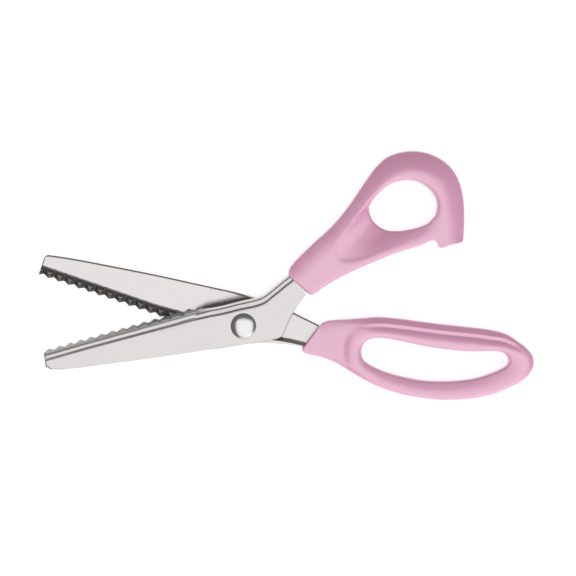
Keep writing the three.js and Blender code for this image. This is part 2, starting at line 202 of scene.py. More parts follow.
FRONT_SPINE = [(-93.9, -12.4), (-94.1, -14.5), (-93, -17.6), (-92.1, -19.2), (-90.7, -20.2), (-88, -20.5),
               (-80, -20), (-60, -17.4), (-35, -14), (-15, -11), (-7, -9.9)]
FRONT_OUTLINE = [(-22.3, 7.7), (-20, 7.95), (-15.8, 8.4), (-12, 9), (-8.2, 9.85), (-5.4, 10.6),
                 (-2.6, 11.35), (0.2, 12), (5, 13.1), (9, 14.4), (12, 16.5), (15, 18.9), (18, 21.4),
                 (20.6, 23.4)]
FRONT_HEEL = [(-20.1, -11.7), (-7, -9.9), (4, -8), (12, -6.7), (16, -5.9), (17.6, -5.2), (18.6, -3.8),
              (21.5, 3), (25, 9), (28.8, 14.1)]
REAR_SPINE = [(-96.1, 25.2), (-95.3, 28), (-94.3, 31), (-93.6, 32.5), (-92.4, 33.3), (-90, 33.1),
              (-80, 31.6), (-60, 27.8), (-40, 23.8), (-20, 19.4), (-8, 16.8)]
REAR_OUTLINE = [(-20.9, -2.4), (-18, -2.9), (-10, -5.9), (0, -8.3), (9, -8.2), (20, -8.8), (27.4, -9.9)]
REAR_HEEL = [(-15.6, 18.4), (-8, 16.8), (0, 14.9), (8, 12.6), (15, 10.2), (24, 6), (34.8, 0.7)]
FRONT_SHOULDER = 49.1          # the directions in which the tangs leave the shanks
REAR_SHOULDER = -30

# A blade's finishes, in the order of its materials: the last is ground steel whose dark colour is painted
# shade.
POLISHED, BEVELLED, DULL_AND_SHADED = range(3)

GROOVES = 13                   # pitches from the innermost to the one at the front tooth radius
BLUNTING = 0.1                 # what the crests and valleys of the grooves lack in height and depth
# Cross-sections near each crest and valley, and near a blade's end.
GROOVE_OFFSETS = (-0.9, -0.16, 0, 0.16, 0.9)
FIRST_STEP = 0.6
END_STEPS = (3, 2, 1.2, 0.7, 0.5, 0.3, 0.15, 0.05, 0)
SHANK_STEPS = 100
GROUND_COLUMNS = 12            # of the shank's steps, finished like the toothed part
SHADED_RAMP_COLUMNS = 36              # beyond them, in which the ride's ramp is dull too, dark with painted shade
HONED_WIDTH = 1.5              # of the facet ground along the teeth's points
HONED_SLOPE = 0.42
SHANK_LAND = 0.05              # where the raised band begins, next to the shank's plain edge
SHANK_EDGE = 0.3               # how far the shank's plain edge lies below the roll's crest
BEVEL_FOOT = 0.7               # the same next to the teeth, where it carries on from their bevels
ROUNDED_END = (0.7, 0.4)       # length and height of the rounding at a blade's end
BULGE = 2                      # how far the shank's first cross-sections bow towards the tip
BULGE_RUN = 0.14               # the share of the shank over which they straighten
HEEL_RUN = 0.5                 # the share of the shank over which the heel takes on its softness
# Cross-sections past the shank: distance from its end and share of its width.
TANG = [(1.0, 1.0), (1.3, 0.75), (7.0, 0.7)]

# Across the outer side: the roll and the joggle, as shares of their width and
# heights above the roll's crest.
ROLL = [(0.36, -0.36), (0.42, -0.29), (0.48, -0.2), (0.54, -0.11), (0.58, -0.05), (0.62, -0.015),
        (0.66, 0), (0.78, 0), (0.82, 0.04), (0.86, 0.25), (0.91, 0.65), (0.955, 0.96), (1.0, 1.08),
        (1.08, 1.14), (1.25, 1.185), (1.6, 1.2)]
SQUEEZED = 0.66                # the share of the roll, from its edge, that is narrower on the shank
SHANK_SQUEEZE = 0.68           # how narrow and how shallow it is there
SQUEEZE_RUN = 0.15             # the share of the shank over which it narrows
# Round the spine, as distances in from it and down from the face.
SPINE_EDGE = [(1.2, 0), (0.85, 0), (0.6, 0.06), (0.3, 0.21), (0.08, 0.36), (0, 0.55)]
FACE_SPANS = 36                # of the inner face, between the spine and the raised band
BANK_SPANS = 8                 # of the bank from the inner face up to the toothed band
BAND_SPANS = 3                 # of the band itself, back to the cutting edge
BANK_FOOT = 0.5                # how far beyond the roll the bank begins
BANK_FILLET = 2.6              # length of the curve at its foot, beyond which it keeps its slope
BANK_SLOPE = 1
POLISHED_RISE = 0.3            # how far the inner face may rise towards the bank and still be polished; beyond it, near the teeth, it is dull and dark with painted shade
RAMP_POLISHED_RISE = 0.5       # the same on the ride's ramp, which is painted dark as the shadow under the other blade's edge

# The pad on the inner face where the blades ride on each other: its height,
# the radius at which it ends, and the slope and the curved foot of its ramp.
# A low lip runs on from it, under the other blade's teeth.
RIDE_HEIGHT = 1.15
RIDE_TOP = RIDE_HEIGHT - 0.02  # from here up the pad is polished again
RIDE_RADIUS = 22.7
LIP_HEIGHT = 0.27
LIP_RADIUS = 29
LIP_FADE = 2
RIDE_SLOPE = 0.5
RIDE_FOOT = 6.4
# The line in plan at which the ramp begins: its y and slope, then the most
# that it gains in y, how steeply, and the x from which it does.
RAMP_Y = 11.5
RAMP_LEAN = 0.21
RAMP_GAIN = 5.4
RAMP_GAIN_SLOPE = 0.48
RAMP_GAIN_X = -29.5
PAD_END_X = 15                 # where the pad has faded out on the shank's side
PAD_FADE = 5

# The boss round the bore, as heights from the shear plane into the plate. It is
# drawn flat, without the CAD's seat, so the blade washer is 0.06 mm into it.
BOSS_SPAN = (RUNNING_GAP - 0.01, PLATE_OFFSET + 0.3)
BORE_SEGMENTS = 64


def groove_height(radius):
    """Height of the shearing surface above the shear plane, its crests and valleys slightly blunt."""
    phase = (radius - FRONT_TOOTH_RADIUS) / TOOTH_PITCH % 1
    height = TOOTH_DEPTH * (0.5 - abs(2 * phase - 1))
    return max(-TOOTH_DEPTH / 2 + BLUNTING, min(TOOTH_DEPTH / 2 - BLUNTING, height))


def blade_point(blade, along, n):
    """A plan point from its distance along the tooth line's direction and its distance towards the teeth."""
    c, s = math.cos(math.radians(blade["angle"])), math.sin(math.radians(blade["angle"]))
    across = n * blade["side"]
    return along * c - across * s, along * s + across * c


def towards_teeth(blade, points):
    """How far plan points lie from the pivot towards a blade's teeth."""
    c, s = math.cos(math.radians(blade["angle"])), math.sin(math.radians(blade["angle"]))
    return blade["side"] * (-points[:, 0] * s + points[:, 1] * c)


def curved_ramp(x, slope, foot):
    """Height at x along a ramp that curves up from level over a foot and then keeps its slope."""
    return slope * (max(x, 0) ** 2 / (2 * foot) if x < foot else x - foot / 2)


def curved_ramp_run(height, slope, foot):
    """How far along such a ramp a height is reached."""
    rise = height / slope
    return math.sqrt(2 * foot * rise) if rise < foot / 2 else rise + foot / 2


def across_blade(edge, land, roll_width, width, flange_z, squeeze=1.0, spine_softness=1.0):
    """One cross-section as (distance from the tooth line, height), for a blade with its outer face up.

    It runs from the cutting edge over the rolled band and the joggle to the
    spine, and back along the inner face and the raised band to the edge. The
    band's flat surface starts at the land, a distance from the tooth line, and
    ends where the bank down to the inner face begins. The squeeze makes the
    roll's edge narrower and shallower, and the softness is the share of the
    spine's rounding that is kept.
    """
    roll = SHEAR_Z + EDGE_OFFSET
    inner = SHEAR_Z + PLATE_OFFSET
    outer = inner + PLATE
    over = [(share * squeeze * roll_width, roll + z * squeeze) if share <= SQUEEZED else
            (share * roll_width, roll + z) for share, z in ROLL]
    spine = [(width - d * spine_softness, outer - z) for d, z in SPINE_EDGE]
    under = [(width - d * spine_softness, inner + z) for d, z in reversed(SPINE_EDGE)]
    foot = roll_width + BANK_FOOT
    run = curved_ramp_run(inner - flange_z, BANK_SLOPE, BANK_FILLET)
    bank = [(foot - x, inner - curved_ramp(x, BANK_SLOPE, BANK_FILLET))
            for x in np.linspace(0, run, BANK_SPANS + 1)]
    face = [(d, inner) for d in np.linspace(under[-1][0], foot, FACE_SPANS + 1)[1:-1]]
    middle = ((bank[-1][0] + land) / 2, flange_z)
    return [edge] + over + spine + under + face + bank + [middle, (land, flange_z)]


def round_end(column, gap):
    """Draws a cross-section's two sides together near the blade's end, which is this gap away."""
    length, height = ROUNDED_END
    drop = height * (1 - math.sqrt(1 - max(1 - gap / length, 0) ** 2))
    half = 1 + len(ROLL) + len(SPINE_EDGE)
    return [(d, z - drop if 0 < i < half else z + drop if i > half else z)
            for i, (d, z) in enumerate(column)]


def toothed_columns(blade):
    """Cross-sections along circles round the pivot, so that the grooves are concentric."""
    spine = open_curve(FRONT_SPINE if blade is FRONT else REAR_SPINE)
    radius = np.hypot(spine[:, 0], spine[:, 1])
    first = int(np.argmax(radius))
    order = slice(None, first - 1 if first else None, -1)
    spine_r, spine_n = radius[order], towards_teeth(blade, spine)[order]

    half_pitch = TOOTH_PITCH / 2
    peaks = np.arange(FRONT_TOOTH_RADIUS - GROOVES * TOOTH_PITCH, blade["end"] + half_pitch, half_pitch)
    radii = [GROOVES_START, GROOVES_START + FIRST_STEP]
    for peak in peaks - half_pitch:
        radii += [peak + offset for offset in GROOVE_OFFSETS]
    radii += list(blade["end"] - np.array(END_STEPS))
    columns = []
    for r in sorted(set(round(x, 3) for x in radii if GROOVES_START <= x <= blade["end"])):
        height = blade["direction"] * groove_height(r)
        flange_z = SHEAR_Z + height + RUNNING_GAP / 2
        tip = (height + TOOTH_DEPTH / 2) / BEVEL_SLOPE
        edge = (tip, flange_z + (HONED_WIDTH - tip) * HONED_SLOPE)
        width = blade["edge"] - np.interp(r, spine_r, spine_n)
        column = []
        roll_width = np.interp(r, *zip(*blade["toothed_roll"]))
        section = across_blade(edge, HONED_WIDTH, roll_width, width, flange_z)
        for d, z in round_end(section, blade["end"] - r):
            n = blade["edge"] - d
            x, y = blade_point(blade, math.sqrt(max(r * r - n * n, 0)), n)
            column.append((x, y, with_ride(blade, x, y, z)))
        columns.append(column)
    return columns[::-1]


def ride_height(x, y):
    """How far the inner face is raised at a plan point of the rear blade, or its like on the front one."""
    radius = math.hypot(x, y)
    full = LIP_HEIGHT * smoothstep((LIP_RADIUS - radius) / LIP_FADE)
    full += (RIDE_HEIGHT - LIP_HEIGHT) * smoothstep(RIDE_RADIUS - radius)
    foot = RAMP_Y + RAMP_LEAN * x + min(RAMP_GAIN, RAMP_GAIN_SLOPE * (x - RAMP_GAIN_X))
    ramp = curved_ramp(foot - y, RIDE_SLOPE, RIDE_FOOT)
    return min(full, ramp) * smoothstep((PAD_END_X - x) / PAD_FADE)


def with_ride(blade, x, y, z):
    """A height on a blade's inner side, or at its spine, with the ride's rise taken from it."""
    inner = SHEAR_Z + PLATE_OFFSET
    edge_height = SPINE_EDGE[-1][1]
    if z > inner + edge_height:
        return z
    side = 1 if blade is REAR else -1
    rise = ride_height(x, side * y) * (1 - max(z - inner, 0) / edge_height)
    return z - rise if z > inner else min(z, inner - rise)


def shank_columns(blade, outline, heel, end_direction):
    """Cross-sections from the last groove past the pivot to the tang's shoulder, straight across."""
    t = np.linspace(0, 1, SHANK_STEPS)
    edges = at_fraction(open_curve(outline), t)
    heels = at_fraction(open_curve(heel), t)
    along = math.radians(blade["angle"])
    tooth_line = np.array([math.cos(along), math.sin(along)])
    flange_z = SHEAR_Z + RUNNING_GAP
    columns = []
    for i in range(1, SHANK_STEPS):
        roll_width = np.interp(t[i], *zip(*blade["shank_roll"]))
        across = heels[i] - edges[i]
        step = edges[min(i + 1, SHANK_STEPS - 1)] - edges[i - 1]
        width = abs(float(np.cross(step, across))) / float(np.linalg.norm(step))
        bulge = BULGE * max(1 - t[i] / BULGE_RUN, 0) * tooth_line
        below = SHANK_EDGE + (BEVEL_FOOT - SHANK_EDGE) * max(1 - i / GROUND_COLUMNS, 0)
        edge = (0, SHEAR_Z + EDGE_OFFSET - below)
        softness = 1 - (1 - blade["heel_softness"]) * smoothstep(t[i] / HEEL_RUN)
        squeeze = 1 - (1 - SHANK_SQUEEZE) * min(t[i] / SQUEEZE_RUN, 1)
        column = []
        for d, z in across_blade(edge, SHANK_LAND, roll_width, width, flange_z, squeeze, softness):
            share = d / width
            x, y = edges[i] + across * share + bulge * 4 * share * (1 - share)
            column.append((x, y, with_ride(blade, x, y, z)))
        columns.append(column)
    return columns + tang_columns(columns[-1], math.radians(end_direction))


def tang_columns(column, direction):
    """Narrower copies of the shank's last cross-section, further and further into the handle."""
    along = np.array([math.cos(direction), math.sin(direction), 0])
    last = np.array(column)
    centre = last.mean(axis=0)
    columns = []
    for distance, share in TANG:
        moved = last.copy()
        moved[:, :2] = centre[:2] + (last[:, :2] - centre[:2]) * share
        columns.append([tuple(v) for v in moved + along * distance])
    return columns


def finish_of(row, column, size, height, ground):
    """The finish of a blade's face, from its row and column, and its mean height.

    Row 0 is the bevel beside the cutting edge, the last rows are the raised
    band, and the bank is just before them. The ground columns are the first.
    """
    if row == 0:
        return BEVELLED if column < ground else POLISHED
    rise = SHEAR_Z + PLATE_OFFSET - height
    band = size - BAND_SPANS
    on_band = row >= band
    on_bank = row >= band - BANK_SPANS and POLISHED_RISE < rise < RIDE_TOP
    # The ride's ramp gets the dull steel, whose dark colour is painted shadow from the other blade's edge.
    on_shaded_ramp = column < ground + SHADED_RAMP_COLUMNS and RAMP_POLISHED_RISE < rise < RIDE_TOP
    return DULL_AND_SHADED if on_shaded_ramp or column < ground and (on_band or on_bank) else POLISHED


def blade(name, shape, outline, heel, end_direction):
    """A blade with its boss and its bore, skinned over its cross-sections from the tip to the tang."""
    toothed = toothed_columns(shape)
    columns = toothed + shank_columns(shape, outline, heel, end_direction)
    size = len(columns[0])
    vertices = np.array(columns).reshape(-1, 3)
    last = (len(columns) - 1) * size
    faces = tube_faces(len(columns), size, False)
    ground = len(toothed) + GROUND_COLUMNS
    finishes = [finish_of(i % size, i // size, size, vertices[list(face), 2].mean(), ground)
                for i, face in enumerate(faces)]
    faces += [tuple(range(size)), tuple(range(last, last + size))]
    finishes += [POLISHED, POLISHED]
    if shape["direction"] < 0:
        vertices[:, 2] = 2 * SHEAR_Z - vertices[:, 2]
    obj = mesh_object(name, vertices, faces, finishes=finishes)
    low, high = sorted(SHEAR_Z + shape["direction"] * z for z in BOSS_SPAN)
    combine(obj, disc("boss", BOSS_RADIUS, low, high), "UNION")
    bore = disc("bore", BORE / 2, -CUT_MARGIN, THICKNESS + CUT_MARGIN, BORE_SEGMENTS)
    combine(obj, bore, "DIFFERENCE")
    tidy_mesh(obj)
    return obj


# ---- Handles --------------------------------------------------------------

# Matching stations round each bow: its outline, the crest of its rim and the
# edge of its hole.
THUMB_OUTLINE = [
    (21.2, 26), (23, 29.2), (31.3, 37.7), (41.8, 47.4), (49.5, 56.8), (57.4, 68.5), (62.7, 75.4),
    (68.5, 80), (79.4, 82.3), (89, 80.4), (96.5, 75.6), (101, 69), (103.4, 60), (103.9, 50),
    (103.5, 42.5), (103, 39.4), (97.7, 37.8), (92.6, 36.15), (91.5, 37), (90.4, 39.2), (89, 39.9),
    (83.6, 37.6), (73, 34.3), (62.7, 30.3), (52.2, 25.8), (44.5, 22), (37.5, 17.8), (34.2, 15.4),
    (31.6, 14.4), (28.2, 17), (23, 21.5), (21.3, 23.6)]
THUMB_CREST = [
    (41.4, 34), (41.8, 36.4), (44.2, 40.9), (49.4, 47.4), (54.6, 54.2), (60.6, 62), (65.4, 66.8),
    (70.4, 69.6), (78.4, 70.6), (84.6, 69.2), (89.2, 66), (92.2, 62.4), (94.2, 57.8), (94.2, 52.4),
    (93, 48), (92.4, 46.6), (91.6, 45.2), (90.6, 43.8), (89.9, 43), (88.8, 41.9), (87.4, 41.2),
    (83, 39), (72.6, 35.8), (62.2, 32), (52.2, 28.6), (47.6, 28), (44.6, 28.3), (43.2, 28.9),
    (42.2, 29.9), (41.6, 31), (41.3, 32.2), (41.3, 33.1)]
THUMB_HOLE = [
    (59.3, 56.4), (59.8, 57.4), (60.5, 58.5), (61.5, 60), (63.1, 61.8), (65.5, 64), (68.2, 65.9),
    (71.6, 67.4), (77, 68.3), (82.5, 67.2), (86.6, 64.6), (89.3, 61.4), (90.7, 57.8), (90.5, 54),
    (89.8, 52), (89.2, 51.2), (88.3, 50.2), (87.4, 49.2), (87, 48.8), (86.5, 48.4), (85.8, 48),
    (83, 46.7), (77, 45.2), (70, 44.6), (66, 45.5), (63.2, 47.1), (61.6, 48.6), (60.5, 50.2),
    (59.8, 51.6), (59.3, 53), (59.05, 54.3), (59.1, 55.4)]

FINGER_OUTLINE = [
    (37.6, 1.9), (40, 2.7), (47, 3.2), (57.4, 4), (63, 4.4), (73, 3.6), (83.6, 2.2), (94, 0.9),
    (104.4, -0.2), (114.9, -1.5), (123.2, -3.5), (128.5, -6.8), (132.6, -9.9), (135.6, -13.6),
    (136.3, -17.8), (134.6, -22.2), (130.4, -26.2), (124, -29.5), (114.9, -32.8), (104.4, -34.5),
    (94, -35), (83.6, -34), (73.1, -32), (62.7, -28.5), (52.2, -23), (43.9, -17.8), (36.5, -14.9),
    (30, -13.4), (27.7, -12.3), (27.3, -10.6), (28.8, -8.6), (35.8, 0.5)]
FINGER_CREST = [
    (51.9, -8.6), (52.4, -7.6), (54.2, -5.4), (58.6, -3.6), (63.4, -3.4), (72.5, -4.1),
    (82.4, -5.8), (92.6, -7.2), (102.8, -8.4), (113, -9.2), (121, -9.4), (125.6, -10.8),
    (128.8, -12.8), (130.8, -15.2), (131.6, -18), (131, -20.8), (128.6, -24), (123, -27.6),
    (114.4, -31), (104.2, -32.7), (94, -33.2), (83.8, -32.2), (73.6, -30.2), (63.6, -26.7),
    (55, -20.6), (52.5, -17.4), (51.8, -14.8), (51.6, -13.2), (51.5, -12.2), (51.5, -11.2),
    (51.5, -10.4), (51.7, -9.4)]
FINGER_HOLE = [
    (56, -9.6), (56.4, -8.8), (57.4, -7.6), (60.4, -6), (64, -5.7), (71.5, -6.8), (81, -8.9),
    (91.5, -10.7), (101.5, -11.8), (111, -12.1), (118.5, -11.8), (121.8, -12.5), (123.4, -13.8),
    (124.2, -15.2), (124.3, -16.8), (123.6, -18.3), (121.4, -19.8), (117, -21.7), (110.5, -24),
    (102, -25.4), (93, -25.8), (84, -25.4), (74.5, -23.6), (66.5, -21.3), (60.5, -18.8),
    (57.4, -16.8), (56, -15), (55.6, -13.6), (55.5, -12.8), (55.5, -12), (55.5, -11.3),
    (55.8, -10.2)]

# How each bow's section changes round it, as (station, value) pairs: the width
# of its outer edge's rounding and the slope at which that starts, the rounding
# of the hole's edge, how far the surface falls from the crest to the hole and
# how much of that falls close to the crest, how far the outer side lies below
# the crest, how much of the stepped top bar there is, and its shoulder's width.
THUMB_SHAPE = {
    "rounding": [(0.4, 0.8), (0.8, 9), (3, 9.5), (5, 10.5), (7, 11), (12, 11), (14, 9.5), (14.8, 8),
                 (15.1, 0.8), (18, 0.8), (20, 1.6), (25, 2.2), (27, 2), (28, 0.9)],
    "slope": [(0, 0.4), (4, 0.42), (6, 0.65), (9, 0.75), (11, 0.7), (13, 0.62), (15, 0.45)],
    "lip": [(0, 0.8)],
    "dish": [(0, 3.4), (2, 2.4), (4, 1.4), (6, 0.8), (9, 0.8), (13, 0.9), (16, 1), (20, 1.2), (22, 2),
             (24, 3.7), (27, 4.4), (29, 4)],
    "step": [(0, 0.5), (2, 0.3), (4, 0), (20, 0), (23, 0.2), (26, 0.55), (29, 0.6)],
    "plateau": [(0, 0)],
    "ledge": [(0, 0)],
    "shoulder": [(0, 1)],
}
FINGER_SHAPE = {
    "rounding": [(0, 6), (3, 5.5), (11, 4.5), (13, 4.5), (15, 4), (17, 2.5), (24, 2.5), (27, 1.6), (28, 0.9),
                 (30.8, 0.8), (31.2, 4), (31.6, 6)],
    "slope": [(0, 0.3), (2, 0.3), (4, 0.55), (28, 0.55), (31, 0.3)],
    "lip": [(0, 0.8)],
    "dish": [(0, 1.2), (4, 0.8), (11, 0.8), (13, 1.1), (17, 1.6), (20, 1.75), (24, 1.6), (27, 1.3)],
    "step": [(0, 0)],
    "plateau": [(0, 0.9), (2, 0.75), (3, 0.5), (5, 0), (23, 0), (24, 0.4), (25, 0.7), (26, 0.9)],
    "ledge": [(2, 0), (3, 0.3), (4, 0.8), (5, 1), (10, 1), (11, 0.6), (12, 0), (31, 0)],
    "shoulder": [(3, 6), (7, 5), (10, 4), (12, 3)],
}
STATIONS = len(THUMB_OUTLINE)  # the same round both bows
STEPS_PER_STATION = 12
RAIL_PASSES = (5, 20, 30)      # of smoothing, for the outline, the crest and the hole
SHAPE_PASSES = 60              # the same for the section's values
OUTER_SAMPLES = 46             # across the bow, from its outline to its crest
INNER_SAMPLES = 24             # and on from there to its hole
HANDLE_SHARP_ANGLE = 50

ROUNDING_POWER = 1.7
EDGE_FILLET = 0.7              # the small radius at the very edge of the outline
RIM_FOOT = 5.5                 # width over which the outer side comes up to the crest
RIM_FOOT_SHARE = 0.8           # of the way to the crest, at most
STEP_RUN = 5                   # width over which the surface falls close to the crest
DISH_POWER = 1.5
CREST_SOFTNESS = 0.5
LIP_SHARE = 0.9                # of the way from the crest to the hole, at most
LEDGE_INSET = 4                # of the stepped bar's ledge from the outline
LEDGE_HEIGHT = 5.6
LEDGE_SHARE = 0.52             # of the way to the crest, at most
LEDGE_HALF_WIDTH = 0.85
LEDGE_FALL = 0.12
STRIP_FOOT = 3.8               # height of the strip outside the ledge, at the outline
STRIP_EDGE = 0.6               # the rounding of its edge
SHOULDER_SHARE = 0.4           # of the way from the crest to the hole that the shoulder may take
PARTING_GROOVE = 0.1           # half the width, and the depth, of the seam round a handle


def crowded(count):
    """Fractions from 0 to 1, crowded at both ends."""
    return (1 - np.cos(np.linspace(0, math.pi, count))) / 2


def shape_value(pairs, stations):
    """A section's value at each station, as a column, from its (station, value) pairs."""
    keys, values = zip(*pairs)
    return np.interp(stations, keys, values, period=STATIONS)[:, None]


def edge_factor(distance, rounding):
    """The share of its height that a surface has near its edge, which is rounded in a quarter circle."""
    return np.sqrt(1 - np.clip(1 - distance / rounding, 0, 1) ** 2)


def soft_minimum(a, b, softness):
    """The lower of two heights, blended where they differ by less than the softness."""
    h = np.clip(softness - np.abs(a - b), 0, None) / softness
    return np.minimum(a, b) - h * h * softness / 4


def rounding_factor(xy, edge, widths, slopes, top):
    """The share of its height that a bow keeps at each plan point, as its outer edge is rounded off.

    The rounding starts from an upright side, at a slope, and levels off over
    a width, both of which change round the outline.
    """
    kept = np.ones(xy.shape[:2])
    ends = np.roll(edge, -1, axis=0)
    for start, end, width, slope in zip(edge, ends, widths[:, 0], slopes[:, 0]):
        step = end - start
        share = np.clip((xy - start) @ step / (step @ step), 0, 1)
        distance = np.linalg.norm(xy - start - share[..., None] * step, axis=-1)
        drop = slope * width / (ROUNDING_POWER * top)
        levelled = 1 - drop * np.clip(1 - distance / width, 0, 1) ** ROUNDING_POWER
        kept = np.minimum(kept, levelled * edge_factor(distance, EDGE_FILLET))
    return kept


def bow_heights(s, outer, inner, top, rounded, values):
    """Height above the mid-plane at distance s along a ray from the outline of a bow.

    Outer and inner are the ray's lengths from the outline to the crest and on
    to the hole. The stepped bar's section replaces the plain one by its share.
    """
    foot = np.minimum(RIM_FOOT, outer * RIM_FOOT_SHARE)
    outside = top - values["plateau"] * (1 - smoothstep((s - outer + foot) / foot))
    inward = np.clip(s - outer, 0, None)
    inside = (top - values["step"] * smoothstep(inward / STEP_RUN)
              - (values["dish"] - values["step"]) * (inward / inner) ** DISH_POWER)
    base = soft_minimum(outside, inside, CREST_SOFTNESS)
    lip = edge_factor(outer + inner - s, np.minimum(values["lip"], inner * LIP_SHARE))
    plain = base * rounded
    ledge = np.minimum(LEDGE_INSET, outer * LEDGE_SHARE)
    rise = (LEDGE_HEIGHT - STRIP_FOOT) * np.clip(s / (ledge - LEDGE_HALF_WIDTH), 0, 1)
    fall = LEDGE_FALL * np.clip((s - ledge + LEDGE_HALF_WIDTH) / LEDGE_HALF_WIDTH, 0, 1)
    strip = STRIP_FOOT * edge_factor(s, STRIP_EDGE) + rise - fall
    beyond = ledge + LEDGE_HALF_WIDTH
    run = np.minimum(values["shoulder"], outer + inner * SHOULDER_SHARE - beyond)
    shoulder = 1 - np.clip(1 - (s - beyond) / run, 0, 1) ** 2
    shoulder = np.where(s > beyond, shoulder, 0)
    stepped = strip + (base - LEDGE_HEIGHT) * shoulder
    return (plain + (stepped - plain) * values["ledge"]) * lip


def smoothed(rail, passes):
    """A closed run of values, each averaged with its neighbours in every pass."""
    for _ in range(passes):
        rail = (np.roll(rail, 1, axis=0) + 2 * rail + np.roll(rail, -1, axis=0)) / 4
    return rail


def handle(name, outline, crest, hole, shape):
    """A looped handle, skinned from its outline over the rim's crest to its hole, alike on both faces."""
    stations = np.arange(STATIONS * STEPS_PER_STATION) / STEPS_PER_STATION
    rails = [closed_curve(points, STEPS_PER_STATION) for points in (outline, crest, hole)]
    edge, ridge, rim = [smoothed(rail, passes) for rail, passes in zip(rails, RAIL_PASSES)]
    values = {key: shape_value(pairs, stations) for key, pairs in shape.items()}
    values |= {key: smoothed(value, SHAPE_PASSES) for key, value in values.items()
               if key != "rounding"}
    outer = np.linalg.norm(ridge - edge, axis=1)[:, None]
    inner = np.linalg.norm(rim - ridge, axis=1)[:, None]
    out, back = crowded(OUTER_SAMPLES)[None, :], crowded(INNER_SAMPLES)[None, 1:]
    s = np.hstack([outer * out, outer + inner * back])
    xy = np.concatenate([edge[:, None] + (ridge - edge)[:, None] * out[..., None],
                         ridge[:, None] + (rim - ridge)[:, None] * back[..., None]], axis=1)
    radius = np.hypot(xy[..., 0], xy[..., 1])
    grown = smoothstep((radius - THINNING[0]) / (THINNING[1] - THINNING[0]))
    top = (SHANK_END_THICKNESS + (THICKNESS - SHANK_END_THICKNESS) * grown) / 2
    rounded = rounding_factor(xy, edge, values["rounding"], values["slope"], top)
    height = bow_heights(s, outer, inner, top, rounded, values)
    height[:, 0] = PARTING_GROOVE
    front = np.dstack([xy, SHEAR_Z + height])
    rear = np.dstack([xy, SHEAR_Z - height])[:, -2::-1]
    seam = edge + (ridge - edge) / outer * PARTING_GROOVE
    seam = np.dstack([seam[:, None], np.full((len(seam), 1, 1), SHEAR_Z)])
    rings = np.concatenate([front, rear, seam], axis=1)
    faces = tube_faces(len(rings), rings.shape[1], True)
    return mesh_object(name, rings.reshape(-1, 3), faces, HANDLE_SHARP_ANGLE)


# ---- Pivot ----------------------------------------------------------------

HEAD_RADIUS = 5.95
HEAD_BASE = SHEAR_Z + PLATE_OFFSET + PLATE + 0.02
BROW_Z = HEAD_BASE + 1.1       # where the head's side ends and its dome begins
HEAD_FOOT = [(0.25, 0), (0, 0.15)]                   # insets from the side and heights above the base
HEAD_BROW = [(0, 0.5), (0.05, 0.28), (0.16, 0.08)]   # insets from the side and depths below the brow
CROWN = 1.25                   # height of the dome
DOME_EDGE = 0.96               # its radius, as a share of the head's
DOME_FALL = (0.55, 0.45)       # shares of its height that fall with the radius squared and to the fourth
DOME_RINGS = 24
BOLT_RADIUS = 2.98
BOLT_END = (2.6, 0.35)         # radius of its flat end and height of the chamfer above it
BOLT_SEGMENTS = 128
BOLT_SHARP_ANGLE = 40

WASHER_BORE = 3.15             # radius
BLADE_WASHER = (6.8, 6.75, 7.25)    # radius, underside and top
FLAT_WASHER = (5.6, 2.6, 3.25)
WASHER_CHAMFER = 0.08
WAVE_WASHER = {"inner": 3.2, "outer": 5, "underside": 2.05, "waves": 3, "height": 0.2,
               "thickness": 0.3, "segments": 120}
NUT = {"flats": 10, "low": 0.2, "high": 1.8, "hole": 3.05, "sharp_angle": 25}
NUT_CORNERS = (0.1, 0.55)      # how the corners are turned off: margin to the flats and corners, and height


def pivot_bolt():
    """The bolt, from its flat end up to its domed head."""
    foot = [(HEAD_RADIUS - inset, HEAD_BASE + height) for inset, height in HEAD_FOOT]
    brow = [(HEAD_RADIUS - inset, BROW_Z - depth) for inset, depth in HEAD_BROW]
    dome = []
    for share in np.linspace(DOME_EDGE, 0, DOME_RINGS):
        left = 1 - DOME_FALL[0] * share ** 2 - DOME_FALL[1] * share ** 4
        dome.append((HEAD_RADIUS * share, BROW_Z + CROWN * left))
    end, chamfer = BOLT_END
    shank = [(0, 0), (end, 0), (BOLT_RADIUS, chamfer), (BOLT_RADIUS, HEAD_BASE)]
    return turned("pivot_bolt_fine", shank + foot + brow + dome, BOLT_SEGMENTS, BOLT_SHARP_ANGLE)


def ring(name, inner, outer, low, high, chamfer=WASHER_CHAMFER):
    """A flat washer with its outer edges chamfered."""
    profile = [(inner, low), (outer - chamfer, low), (outer, low + chamfer), (outer, high - chamfer),
               (outer - chamfer, high), (inner, high)]
    return turned(name, profile)


def wave_washer():
    """A thin spring washer that rises and falls as it goes round."""
    inner, outer, thickness = WAVE_WASHER["inner"], WAVE_WASHER["outer"], WAVE_WASHER["thickness"]
    section = [(inner, 0), (outer, 0), (outer, thickness), (inner, thickness)]
    segments = WAVE_WASHER["segments"]
    rings = []
    for angle in np.linspace(0, 2 * math.pi, segments, endpoint=False):
        z = WAVE_WASHER["underside"] + WAVE_WASHER["height"] * math.sin(WAVE_WASHER["waves"] * angle)
        rings += [(r * math.cos(angle), r * math.sin(angle), z + t) for r, t in section]
    return mesh_object("wave_washer_fine", rings, tube_faces(segments, len(section), True))


